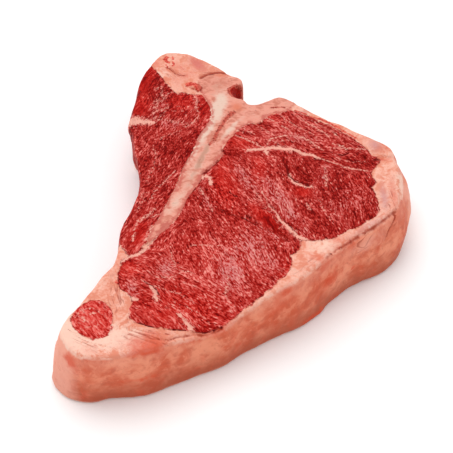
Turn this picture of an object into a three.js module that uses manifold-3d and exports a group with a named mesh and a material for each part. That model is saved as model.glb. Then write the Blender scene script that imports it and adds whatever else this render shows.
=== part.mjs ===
// A raw T-bone steak: one thick slice across the loin, lying flat on its lower cut face.
// Every muscle, the T-shaped bone and the fat run right through the slice, so each piece is
// the slice cut by the upright outline of that piece. Millimetres, +Z up, +Y towards the
// backbone end, +X towards the fat-covered back. The origin is the middle of the slice's box,
// at its lower face.
import * as THREE from "three";
import { mergeVertices } from "three/addons/utils/BufferGeometryUtils.js";
import Module from "manifold-3d";

const wasm = await Module();
wasm.setup();

// Driving dimensions.
const THICKNESS = 33.4; // the slice away from its low front edge
const GAP = 0.3; // clearance between neighbouring pieces
const CELL = 4; // spacing of the upper face's relief grid
const SPAN_STEPS = 3; // straight steps between two points of an outline
const RIM_OUT = 0.6; // how far the wall stands out past the rim's points
const EDGE_ROUND = 1.5; // how far the upper rim draws in
const FOOT_ROUND = 0.9; // how far the lower rim draws in
const SWELL = 0.9; // how far the middle of a muscle stands above its edge
const SWELL_REACH = 9; // distance from a muscle's edge over which it rises
const CREASE_DEPTH = 0.9; // the furrow along the edge of each muscle
const CREASE_WIDTH = 2.4;
const BONE_STEP = 0.4; // the sawn bone stands proud of the meat
const CLEAR = 12; // how far the cutting prisms pass the slice, above and below

// The slice's upper rim, anticlockwise from the corner of the tail. Each point holds x, y,
// how far the foot of the wall stands out below it, and how far the wall bulges half way up.
const RIM = [
  [-80.6, -95.5, 6.2, 0.5],
  [-75.6, -103.8, 4, 0.5],
  [-68.5, -108.6, 0.8, 0.5],
  [-58.5, -109, -2.6, 0.5],
  [-43.5, -105, -0.2, 0.5],
  [-29.5, -98, 0.2, 0.6],
  [-18.5, -92.2, 0.4, 0.6],
  [-10, -88.9, 0.4, 0.8],
  [-1.5, -81.6, 0.8, 0.8],
  [8.5, -75, 0.6, 0.8],
  [19.5, -67.9, 1, 0.8],
  [27.5, -63, 1.8, 0.8],
  [35, -55.5, 2.4, 0.8],
  [43, -48, 0.8, 1],
  [54, -38.5, -0.4, 1.4],
  [67.5, -26.8, 3.4, 1.8],
  [74.5, -19, 3.6, 3],
  [78, -9.5, 2.6, 4.6],
  [79.2, 2.5, 2.2, 6],
  [79.6, 13, 1.6, 6],
  [79, 21.5, 1, 4],
  [78.2, 30.4, 0.6, 2],
  [70.6, 35.4, 0, 1],
  [58.6, 43.4, 0, 0.8],
  [46, 52, 0, 0.8],
  [34.6, 60.8, 0, 0.6],
  [27.2, 66.8, 0, 0.4],
  [21.6, 69.4, 0, 0.2],
  [15.5, 66.2, 0, 0],
  [9.5, 63, 0, 0],
  [4.8, 63.4, 0, 0],
  [3, 67, 0, 0],
  [-1.6, 69, 0, 0],
  [-3.6, 73.5, 0, 0],
  [-2, 78, 0, 0],
  [1.4, 80.2, 0, 0],
  [1.8, 84.2, 0, 0],
  [-4.4, 88.9, 0, 0.4],
  [-13.8, 97.9, 0, 0.8],
  [-22.6, 104.6, 0, 0.8],
  [-32.5, 108.8, 0, 0.6],
  [-38.8, 109.2, 0, 0.4],
  [-44, 105, 0, 0.4],
  [-49, 96, 0, 0.6],
  [-53, 82.5, 0.4, 0.8],
  [-55, 67.5, 0.6, 0.8],
  [-57, 53, -1, 0.4],
  [-57.4, 46, -4, 0.2],
  [-55, 38, -6, 0.4],
  [-54.4, 30, -6.5, 0.4],
  [-51.2, 13.5, -6, 0.4],
  [-49.4, 1, -3, 0.6],
  [-52.4, -16.5, 0, 0.8],
  [-56.7, -30.5, 0.4, 0.6],
  [-57.8, -44.5, 0.2, 0.4],
  [-58.8, -53.5, 0.6, 0.6],
  [-64, -61, 1, 0.6],
  [-69, -71, 1.6, 0.6],
  [-74.3, -80.6, 2.4, 0.6],
  [-78.6, -87.6, 4.2, 0.6],
];

// The bone: the long transverse process with the vertebra at its head and the short arm of
// the spine to its right. Its outer side passes the rim, which cuts it.
const BONE = [
  [-44, -39.5], [-41.8, -30.5], [-38.4, -22.5], [-35.2, -12.5], [-31.3, -1],
  [-28.2, 12], [-23.3, 25], [-20.3, 37], [-16.4, 45.3], [-14.2, 54],
  [-15.5, 62.5], [-19.8, 72.5], [-22, 80], [-19.8, 85.8], [-14, 89.3],
  [-8.4, 88.2], [-4.6, 85], [2, 88], [8, 84], [10, 72],
  [22, 76], [32, 70], [28.6, 61], [24.6, 57], [17, 54.4],
  [12.8, 51], [10.2, 47.3], [5, 47], [1, 44], [-4, 36.5],
  [-8.6, 28], [-9, 21.5], [-12.6, 16], [-18, 9.4], [-19.4, 4.5],
  [-22.6, -2.4], [-26.2, -10], [-29.6, -21], [-34, -28.5], [-41.6, -37.6],
];

// The muscles. Each outline may run under the bone or under an earlier muscle, which then
// gives the shared edge.
const TENDERLOIN = [
  [-58, 101], [-48.2, 95.8], [-44, 89.6], [-40.6, 83.2], [-37.2, 77.6],
  [-33.8, 73.4], [-29.2, 73.4], [-24, 72.2], [-17, 71.5], [-9, 60],
  [-12, 46], [-17, 32], [-24, 14], [-30, -6], [-36, -24],
  [-42.6, -37.5], [-46.4, -42.6], [-50.6, -48], [-54.2, -45.4], [-58, -40.5],
  [-66, -30], [-66, 60],
];
const STRIP_LOIN_UPPER = [
  [-12, 24.6], [-2.2, 24], [4, 24.7], [10.1, 25.9], [17.3, 27.4],
  [24.5, 26.2], [31.5, 23.6], [38.5, 20.1], [44, 16], [50.7, 12.2],
  [57.7, 10.7], [65.2, 9], [67.8, 12], [70, 16], [71.3, 20.4],
  [67.4, 24.8], [62.6, 31.4], [56.4, 38.6], [50.6, 44.2], [42.4, 49.4],
  [35.8, 54], [30, 57], [24, 60.4], [16, 58], [10, 53],
  [-2, 46], [-10, 34],
];
const STRIP_LOIN_MIDDLE = [
  [-16, 28], [0, 34], [20, 38], [40, 30], [58, 18],
  [65.4, 10], [66.6, 5.6], [67.8, 2.2], [66, -1.4], [67.2, -7.5],
  [68.2, -14.6], [67.4, -19.5], [64.5, -23.1], [56, -29], [50.8, -31.8],
  [46.6, -35.4], [40.6, -37.8], [35, -38.4], [28.9, -38.2], [23.4, -36.6],
  [17.1, -33], [11, -29.4], [4.4, -24.6], [-3.8, -20.9], [-10.4, -16.8],
  [-14.2, -9], [-18, 0], [-24, 8],
];
const STRIP_LOIN_LOWER = [
  [-26, 4], [-12, -2], [4, -14], [18, -26], [28.4, -34],
  [28.9, -40], [28, -44], [23.8, -48.2], [24, -53], [22.2, -58.4],
  [17.2, -64.2], [13.4, -69], [7.4, -73.6], [1.2, -78.2], [-3.6, -82.2],
  [-8.4, -85.8], [-14, -88.4], [-20.4, -90], [-28.6, -90.4], [-36.4, -91],
  [-43, -90], [-48.6, -87.6], [-50.8, -82.6], [-49.4, -77.6], [-50.6, -73.2],
  [-54.8, -69.6], [-56.2, -64], [-56.3, -57.2], [-53.4, -53.2], [-49, -50],
  [-45.4, -45.4], [-41, -38], [-34, -26],
];
const TAIL_EYE = [
  [-76.2, -88], [-74.8, -81.8], [-69.6, -76.8], [-62.6, -77.2], [-58.8, -81.6],
  [-57.7, -89.9], [-59.4, -96.4], [-65.6, -98.7], [-72.4, -95],
];

// Hollows of the upper face: x, y, radius and depth.
const HOLLOWS = [
  [-10, -92, 24, 7.4], // the low front edge, where the big muscle rolls over the rim
  [-67, -103, 22, 0.8], // the tail corner
  [78, 25.5, 7, 3], // the fold in the fat at the far corner
  [50, 30, 26, 0.7],
  [-2, -10, 20, 0.8],
  [-52, 40, 14, 1.1],
];

const MEAT = new THREE.Color(0.56, 0.06, 0.05);
const DARK_MEAT = new THREE.Color(0.46, 0.04, 0.04);
const FAT = new THREE.Color(0.9, 0.6, 0.48);
const BONE_COLOUR = new THREE.Color(0.86, 0.66, 0.54);

// A smooth closed outline through the points, as plan positions.
function smoothLoop(points) {
  const knots = points.map(([x, y]) => new THREE.Vector3(x, y, 0));
  const curve = new THREE.CatmullRomCurve3(knots, true, "centripetal");
  const loop = curve.getPoints(points.length * SPAN_STEPS);
  loop.pop();
  return loop.map((p) => new THREE.Vector2(p.x, p.y));
}

// The outward normal at each point of an anticlockwise loop.
function outwardNormals(loop) {
  return loop.map((_, i) => {
    const before = loop[(i + loop.length - 1) % loop.length];
    const after = loop[(i + 1) % loop.length];
    return new THREE.Vector2(after.y - before.y, before.x - after.x).normalize();
  });
}

function anticlockwise(loop) {
  return THREE.ShapeUtils.isClockWise(loop) ? loop.slice().reverse() : loop;
}

function distanceToLoop(loop, x, y) {
  let best = Infinity;
  for (let i = 0; i < loop.length; i++) {
    const a = loop[i];
    const b = loop[(i + 1) % loop.length];
    const run = (b.x - a.x) ** 2 + (b.y - a.y) ** 2;
    const along = ((x - a.x) * (b.x - a.x) + (y - a.y) * (b.y - a.y)) / run;
    const t = THREE.MathUtils.clamp(along, 0, 1);
    best = Math.min(best, Math.hypot(a.x + t * (b.x - a.x) - x, a.y + t * (b.y - a.y) - y));
  }
  return best;
}

function inside(loop, x, y) {
  let odd = false;
  for (let i = 0, j = loop.length - 1; i < loop.length; j = i++) {
    const a = loop[i];
    const b = loop[j];
    if (a.y > y !== b.y > y && x < ((b.x - a.x) * (y - a.y)) / (b.y - a.y) + a.x) odd = !odd;
  }
  return odd;
}

const boneLoop = anticlockwise(smoothLoop(BONE));
const muscleLoops = {
  tenderloin: anticlockwise(smoothLoop(TENDERLOIN)),
  strip_loin_upper: anticlockwise(smoothLoop(STRIP_LOIN_UPPER)),
  strip_loin_middle: anticlockwise(smoothLoop(STRIP_LOIN_MIDDLE)),
  strip_loin_lower: anticlockwise(smoothLoop(STRIP_LOIN_LOWER)),
  tail_eye: anticlockwise(smoothLoop(TAIL_EYE)),
};

// Height of the upper face. Muscles swell up from a furrow along their edges, the bone is a
// flat sawn step, and the hollows sink the rest.
function topHeight(x, y) {
  let z = THICKNESS;
  for (const [cx, cy, radius, depth] of HOLLOWS)
    z -= depth * Math.exp(-((x - cx) ** 2 + (y - cy) ** 2) / radius ** 2);
  if (inside(boneLoop, x, y)) return z + BONE_STEP;
  for (const loop of Object.values(muscleLoops)) {
    if (!inside(loop, x, y)) continue;
    const edge = distanceToLoop(loop, x, y);
    const rise = SWELL * (1 - Math.exp(-edge / SWELL_REACH));
    return z + rise - CREASE_DEPTH * Math.exp(-((edge / CREASE_WIDTH) ** 2));
  }
  return z;
}

// A closed geometry as a solid that can be cut.
function solidOf(geometry) {
  const bare = geometry.clone();
  bare.deleteAttribute("normal");
  bare.deleteAttribute("uv");
  const merged = mergeVertices(bare, 1e-4);
  return new wasm.Manifold(
    new wasm.Mesh({
      numProp: 3,
      vertProperties: Float32Array.from(merged.attributes.position.array),
      triVerts: Uint32Array.from(merged.index.array),
    }),
  );
}

// The wall of the slice: the rim carried down to the foot in rings, each set out or in by the
// rim's own foot and bulge, and drawn in at both edges. The last ring is a level lid, clear of
// the whole upper face.
const LID = { height: 1.06, edge: RIM_OUT - 1.3 * EDGE_ROUND };
const RINGS = [
  { height: 0, edge: RIM_OUT - FOOT_ROUND },
  { height: 0.05, edge: RIM_OUT },
  { height: 0.24, edge: RIM_OUT },
  { height: 0.48, edge: RIM_OUT },
  { height: 0.72, edge: RIM_OUT },
  { height: 0.89, edge: RIM_OUT - 0.1 * EDGE_ROUND },
  { height: 0.97, edge: RIM_OUT - 0.5 * EDGE_ROUND },
  { ...LID },
  LID,
];

// One text for a plan position, the same before and after it is kept as 32-bit numbers.
function planKey(x, y) {
  return Math.fround(x) + " " + Math.fround(y);
}

function wallSolid() {
  const loop = smoothLoop(RIM);
  const extras = RIM.map(([, , foot, bulge]) => new THREE.Vector3(foot, bulge, 0));
  const profile = new THREE.CatmullRomCurve3(extras, true, "centripetal");
  const normals = outwardNormals(loop);
  const tops = loop.map((p) => topHeight(p.x, p.y));
  const index = new Map(loop.map((p, i) => [planKey(p.x, p.y), i]));
  const geometry = new THREE.ExtrudeGeometry(new THREE.Shape(loop), {
    depth: RINGS.length - 1,
    steps: RINGS.length - 1,
    bevelEnabled: false,
  });
  const position = geometry.attributes.position;
  for (let v = 0; v < position.count; v++) {
    const i = index.get(planKey(position.getX(v), position.getY(v)));
    const ring = RINGS[Math.round(position.getZ(v))];
    const { x: foot, y: bulge } = profile.getPoint(i / loop.length);
    const level = Math.min(ring.height, 1);
    const out = foot * (1 - level) + bulge * Math.sin(Math.PI * level) + ring.edge;
    position.setXYZ(
      v,
      loop[i].x + normals[i].x * out,
      loop[i].y + normals[i].y * out,
      ring === LID ? THICKNESS + CLEAR : tops[i] * ring.height,
    );
  }
  return solidOf(geometry);
}

// A block that fills everything below the upper face.
function underTopFace() {
  const [width, depth] = [184, 232];
  const geometry = new THREE.BoxGeometry(
    width,
    depth,
    THICKNESS + CLEAR,
    Math.round(width / CELL),
    Math.round(depth / CELL),
    1,
  );
  geometry.translate(0, 0, (THICKNESS - CLEAR) / 2);
  const position = geometry.attributes.position;
  for (let v = 0; v < position.count; v++)
    if (position.getZ(v) > THICKNESS - 1)
      position.setZ(v, topHeight(position.getX(v), position.getY(v)));
  return solidOf(geometry);
}

// An upright prism on a loop, set out by the given distance.
function prism(loop, grow) {
  const normals = outwardNormals(loop);
  const points = loop.map((p, i) => p.clone().addScaledVector(normals[i], grow));
  const geometry = new THREE.ExtrudeGeometry(new THREE.Shape(points), {
    depth: THICKNESS + 2 * CLEAR,
    steps: 1,
    bevelEnabled: false,
  });
  geometry.translate(0, 0, -CLEAR);
  return solidOf(geometry);
}

function meshOf(solid, name, color, roughness) {
  const { vertProperties, triVerts } = solid.getMesh();
  const geometry = new THREE.BufferGeometry();
  geometry.setAttribute("position", new THREE.BufferAttribute(vertProperties, 3));
  geometry.setIndex(new THREE.BufferAttribute(triVerts, 1));
  geometry.computeVertexNormals();
  const material = new THREE.MeshStandardMaterial({ color, roughness, metalness: 0 });
  const mesh = new THREE.Mesh(geometry, material);
  mesh.name = name;
  return mesh;
}

// The largest body of a cut: slivers left along an edge are dropped.
function largestFirst(solid) {
  return solid.decompose().sort((a, b) => b.volume() - a.volume());
}

const steak = new THREE.Group();
steak.name = "t_bone_steak";

const slice = wallSolid().intersect(underTopFace());
const bonePiece = largestFirst(slice.intersect(prism(boneLoop, 0)))[0];
steak.add(meshOf(bonePiece, "bone", BONE_COLOUR, 0.55));

let taken = prism(boneLoop, GAP);
for (const [name, loop] of Object.entries(muscleLoops)) {
  const muscle = largestFirst(slice.intersect(prism(loop, 0)).subtract(taken))[0];
  const color = name === "tenderloin" ? DARK_MEAT : MEAT;
  steak.add(meshOf(muscle, name, color, 0.42));
  taken = taken.add(prism(loop, GAP));
}

// What is left is the fat: the cap along the back and the tail, and the lump by the vertebra.
const fats = largestFirst(slice.subtract(taken));
["fat_cap", "fat_chine"].forEach((name, i) =>
  steak.add(meshOf(fats[i], name, FAT, 0.5)),
);

export default steak;
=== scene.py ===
"""A raw T-bone steak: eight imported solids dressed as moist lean, waxy fat and sawn bone.

The steak is one thick slice, so its surface is sculpted as one: a fine skin over the whole
slice gets the furrows, creases and grain. Each piece, a muscle, the bone or a run of fat, is
then wrapped onto that skin, which lets neighbours meet without a step. Fields painted on the
pieces' vertices say how far a point is from each outline, streak and crease, and the finishes
read them, so a ragged border runs on from one piece to the next.

Lengths in the classes below are millimetres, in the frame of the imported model.
"""

import sys
import itertools
import logging
import math
from dataclasses import dataclass, field
from enum import Enum

import bpy
import numpy as np
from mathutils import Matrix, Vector
from mathutils.bvhtree import BVHTree


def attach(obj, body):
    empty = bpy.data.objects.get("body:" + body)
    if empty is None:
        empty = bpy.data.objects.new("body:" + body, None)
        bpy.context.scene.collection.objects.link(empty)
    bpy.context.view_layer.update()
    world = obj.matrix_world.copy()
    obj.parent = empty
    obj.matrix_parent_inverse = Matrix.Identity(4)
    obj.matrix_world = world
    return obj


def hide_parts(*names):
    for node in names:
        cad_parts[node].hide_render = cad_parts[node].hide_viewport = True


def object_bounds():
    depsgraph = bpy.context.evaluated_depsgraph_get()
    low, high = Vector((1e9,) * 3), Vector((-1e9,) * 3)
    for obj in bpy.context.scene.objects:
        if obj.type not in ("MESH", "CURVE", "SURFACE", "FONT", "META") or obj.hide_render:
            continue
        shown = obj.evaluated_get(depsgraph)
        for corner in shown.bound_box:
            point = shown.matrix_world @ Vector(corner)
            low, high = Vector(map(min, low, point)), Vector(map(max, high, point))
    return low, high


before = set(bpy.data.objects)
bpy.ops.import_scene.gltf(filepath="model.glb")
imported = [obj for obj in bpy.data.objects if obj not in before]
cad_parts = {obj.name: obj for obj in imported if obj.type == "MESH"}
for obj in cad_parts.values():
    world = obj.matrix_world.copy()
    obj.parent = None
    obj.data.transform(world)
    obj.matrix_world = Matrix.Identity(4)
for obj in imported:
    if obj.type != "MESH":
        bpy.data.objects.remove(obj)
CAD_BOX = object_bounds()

log = logging.getLogger("steak")

MM = 0.001
Array = np.ndarray
Body = bpy.types.Object
Tint = tuple[int, int, int]
Path = tuple[tuple[float, ...], ...]
Size = tuple[float, float, float]


class Slot(Enum):
    """The three finishes, named as the record's material slots."""

    LEAN = "lean"
    FAT = "fat"
    BONE = "bone"


class Mark(Enum):
    """What a stroke draws, and the vertex field that carries it."""

    PALE = "pale"
    # painted shade in the creases of lean and fat, and dark red pits on the bone
    DARK = "dark"
    RED = "red"


class Tone(Enum):
    """A soft shift of colour over a patch, and the vertex field that carries it."""

    CALM = "calm"
    SHEEN = "sheen"
    DEEP = "deep"
    BRIGHT = "bright"
    LIGHT = "light"
    FLUSH = "flush"
    ASH = "ash"
    CREAM = "cream"
    WRINKLED = "wrinkled"


@dataclass(frozen=True)
class Stroke:
    """A seam, streak, crease or fleck that follows a line.

    Two coordinates lie on the cut faces, three lie anywhere, such as on the wall.
    """

    path: Path
    start: float  # half its width at the first point
    end: float  # half its width at the last point
    strength: float = 1.0
    depth: float = 0.0  # how far it sinks; below zero it stands proud


@dataclass(frozen=True)
class Patch:
    """A soft oval patch of colour on the cut faces, or with three coordinates on the wall."""

    centre: tuple[float, ...]
    radii: tuple[float, float]
    weight: float = 1.0
    turn: float = 0.0
    dent: float = 0.0  # how far it sinks; below zero it stands proud


def strokes(*rows: tuple) -> tuple[Stroke, ...]:
    """Makes a stroke of each row of its values."""
    return tuple(Stroke(*row) for row in rows)


def patches(*rows: tuple) -> tuple[Patch, ...]:
    """Makes a patch of each row of its values."""
    return tuple(Patch(*row) for row in rows)


STREAKS = strokes(
    # The curl of fat round the dark eye of the tenderloin.
    (((-27, 75), (-23.5, 71), (-22.5, 63.5), (-23, 58.5)), 1.7, 1.3, 1.1),
    (((-23, 58.5), (-21.5, 55.5), (-22.5, 50.5), (-25, 46), (-28, 44)), 1.1, 1.5),
    (((-39.5, 69), (-37.5, 72.5), (-34.5, 74), (-31.5, 73), (-27, 75)), 1, 1.3, 0.8),
    (((-33, 61), (-30.5, 60), (-29.5, 56.5), (-27.5, 54)), 1.1, 1, 0.8),
    (((-39.5, 69), (-38.5, 63), (-36.5, 57.5), (-33, 56)), 1, 0.9, 0.75),
    # Tufts of marbling at its upper left.
    (((-45.5, 54.5), (-43.5, 57), (-40.5, 57.5), (-38.5, 60)), 1.6, 1.2),
    (((-43.5, 60), (-43.5, 63.5), (-42.5, 67)), 1.7, 1.3),
    (((-45, 74.5), (-43, 77), (-40.5, 79)), 1.2, 1, 0.85),
    (((-46, 62.5), (-44, 65), (-40.5, 64.5)), 1.2, 1.2, 0.85),
    (((-45, 51.5), (-41.5, 52), (-39, 55.5)), 1.5, 1.1, 0.9),
    (((-46, 49), (-40, 50), (-34, 48), (-28, 47)), 2.4, 2.4, 0.75),
    (((-42, 78), (-41, 70), (-40, 66)), 1.8, 1.6, 0.6),
    # The nub of fat that crosses its left edge.
    (((-59, 48.5), (-55, 48.8), (-51, 48.4), (-45, 47.4)), 3.6, 1.2, 1.9, -0.3),
    # Streaks down its length and round its tip.
    (((-43.5, -10.5), (-40.5, -3), (-36.5, 3.5), (-32, 10.5)), 0.9, 0.8),
    (((-47, 0), (-44.5, 9), (-42.5, 18), (-44, 30)), 1.4, 1.2, 0.7),
    (((-41, 34), (-36, 38.5), (-30.5, 40.5)), 0.6, 0.6, 0.9),
    (((-49, -2), (-48, -12), (-50, -20)), 1.4, 1.2, 0.7),
    (((-42, -17.5), (-45, -22), (-49, -26.5), (-50.5, -32.5), (-51, -39)), 1.3, 0.8, 1.2),
    (((-43, -23.5), (-40.5, -21.5), (-37.5, -20.5)), 0.8, 0.6, 1.2),
    (((-42.5, -29), (-43.5, -34), (-45.5, -39)), 1.6, 1.2, 0.9),
    # The thin seam from the bone's tip to the edge, and the bit of fat beside it.
    (((-37.5, -27), (-40.5, -35), (-43, -40), (-46, -45), (-49.5, -48.5), (-58, -54)), 0.8, 0.7, 2.2, -0.2),
    (((-58.5, -43), (-56, -46.5), (-54.5, -50)), 2.2, 1.5, 2),
    (((-53, -74.5), (-47.5, -75.8)), 1.4, 0.7, 2),
    # The band between the upper and the middle lobe.
    (((4, 25), (10, 26.6), (15, 27.6), (20, 28.2), (26, 26.4)), 0.8, 1.7, 1.9, -0.3),
    (((26, 26.4), (32.5, 24.4), (38.5, 21.3), (41.5, 20)), 1.4, 0.7, 1.8, -0.3),
    (((41.5, 20), (46, 18), (51.5, 15), (56.5, 13.5), (65.5, 11)), 0.7, 0.7, 1.3),
    (((13, 26), (14, 23)), 1.6, 1.1, 1.6),
    (((-2, 37), (4.5, 33.5), (9, 30.5), (12, 28)), 0.7, 0.9, 1.3),
    (((0.5, 45), (4.5, 41), (8, 38)), 1, 0.7),
    (((14, 30.5), (17, 34.5), (22, 36.6), (28, 37), (33, 35.5)), 0.7, 1.1, 1.2),
    (((33, 35.5), (37, 32.5), (40, 28.5), (44, 26.5)), 1.1, 0.8, 1.2),
    (((18, 31.5), (24, 33.5), (31, 32.8)), 1, 1, 0.8),
    # Wavy streaks of the upper lobe.
    (((6, 47.5), (12, 43), (17, 38)), 1, 0.8, 0.9),
    (((14, 53), (20.5, 46), (26, 41)), 1.2, 1, 0.9),
    (((20, 56), (27, 47), (34.5, 41), (40, 36)), 1.2, 0.9, 0.9),
    (((30, 54), (36, 47), (43, 41), (47, 35)), 1.2, 0.9),
    (((37, 51), (44, 45), (50, 40), (52, 36)), 1.1, 1, 0.9),
    (((46, 47), (52, 42), (57, 35)), 0.9, 0.8, 0.8),
    (((3, 44), (2, 39)), 1.2, 0.9, 0.8),
    (((47, 27.5), (53, 28), (58.5, 28), (66, 28)), 0.8, 0.8, 1.2),
    (((48.5, 31), (51.5, 30), (54.5, 27)), 0.8, 1.2, 1.2),
    (((50, 20.5), (56, 18), (64, 17.5)), 0.8, 0.6, 0.9),
    # The swirl in the pocket of the middle lobe, and its slanting streaks.
    (((25.5, 7), (26, 2.5), (28.5, -0.5), (32, -2), (35.5, -1.8)), 0.8, 1, 1.8, -0.2),
    (((26, 2.5), (29, 2), (31, -1)), 0.9, 0.7, 1.2),
    (((42, 14), (44, 9.5), (43.5, 4), (42.5, -2)), 0.8, 1, 1.1),
    (((10.5, -1.5), (13.5, -11.5), (17, -20)), 0.6, 0.7, 1.2),
    (((17, -20), (21.5, -28.5), (27, -35), (31, -38.5)), 0.6, 1.3, 1.8, -0.2),
    (((2, 6), (8, -5), (13, -17), (20, -29)), 1.8, 1.4, 0.65),
    (((17.5, -2.5), (21, -13), (25, -23.5)), 1.2, 1.2, 0.75),
    (((33, -14.5), (34.5, -18.5)), 1.6, 1.1),
    (((38.5, -11.5), (42, -20.5), (45.5, -27.5)), 0.8, 0.7, 0.8),
    # The flap and the grey streak at the head of the lower lobe.
    (((-19.5, 4.5), (-17, 6), (-14.5, 4.5), (-14, 0.5)), 1, 0.8, 1.9, -0.2),
    (((-20.5, -2), (-17, -8), (-14.5, -15), (-13, -20)), 1.6, 0.9, 0.9),
    # Thin loops and flaps of the lower lobe.
    (((-24, -42.5), (-18.5, -42), (-9, -42.5)), 0.5, 0.5, 1.1),
    (((-32.5, -46.5), (-31, -53.5), (-30, -57), (-21.5, -60)), 0.6, 0.5, 1.2),
    (((-38.5, -63), (-32, -62.5), (-27.5, -59.5)), 0.6, 0.5, 1.2),
    (((-6.2, -61), (-5.8, -64.5), (-7.2, -70.5), (-6.6, -73)), 0.8, 0.8, 1.1, -0.3),
    (((-41.5, -68.5), (-39, -72), (-38.3, -76)), 0.7, 1.1, 2, -0.5),
    (((-28, -82.5), (-25.5, -85.5), (-22.5, -88.5)), 0.8, 1.3, 1.8, -0.3),
    (((-4, -39.5), (1.5, -46.5), (4.5, -53)), 0.6, 0.6, 0.9),
    (((-48, -64), (-40, -68), (-30, -71), (-22, -75)), 0.7, 0.7, 0.9),
    (((-30, -76), (-20, -80), (-12, -86)), 0.8, 0.8, 0.8),
    # Flecks in the tail's eye.
    (((-75, -86), (-71, -82.5), (-66, -82), (-62.5, -85)), 0.9, 0.8, 0.9),
    (((-71.5, -87), (-70.5, -88.5)), 1.3, 1, 1.3),
    (((-67.5, -85), (-65.5, -84.5)), 1, 0.8, 1.3),
    (((-69, -92), (-64, -91)), 0.9, 0.8, 0.9),
)

# Each crease is sunk into the skin; on the lean and the fat the finishes also darken it with painted shade,
# and on the bone it marks dark red pits.
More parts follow.
